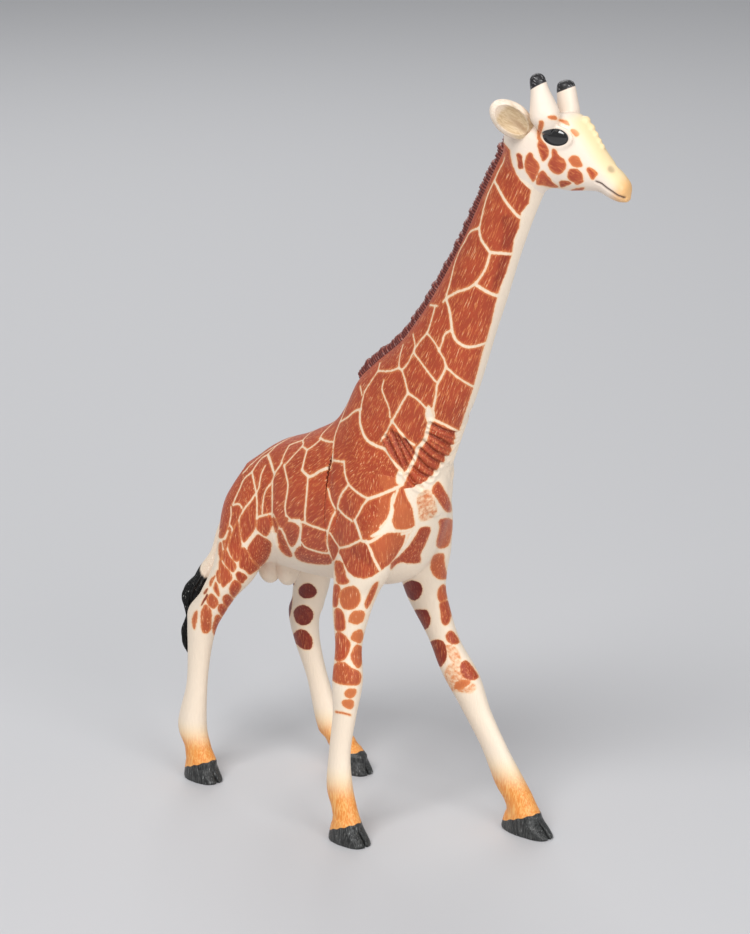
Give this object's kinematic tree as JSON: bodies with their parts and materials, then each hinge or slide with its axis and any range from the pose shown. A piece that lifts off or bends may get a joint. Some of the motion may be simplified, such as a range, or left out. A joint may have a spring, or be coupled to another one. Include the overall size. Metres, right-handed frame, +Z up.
{
  "type": "giraffe figurine",
  "caption": "Small solid plastic reticulated giraffe in mid stride, head turned to its left, standing on flat hoof soles.",
  "frame": {"origin": "on the ground plane, under the middle of the figure's outline", "axes": "+X forward along the trunk towards the chest, +Y to the animal's left, +Z up; the soles stand on Z = 0"},
  "size_m": [0.1096, 0.035, 0.1599],
  "materials": {
    "painted_coat": "satin paint, rust patches on cream",
    "painted_cream": "satin paint, cream with rust patches",
    "painted_black": "satin paint, black tuft on a cream stalk"
  },
  "bodies": {
    "root": {"hindquarters": "painted_coat", "forequarters": "painted_coat", "neck": "painted_coat", "head": "painted_cream", "ear_left": "painted_cream", "ear_right": "painted_cream", "foreleg_right": "painted_coat", "foreleg_left": "painted_coat", "hindleg_right": "painted_coat", "hindleg_left": "painted_coat", "tail": "painted_black"}
  },
  "joints": []
}
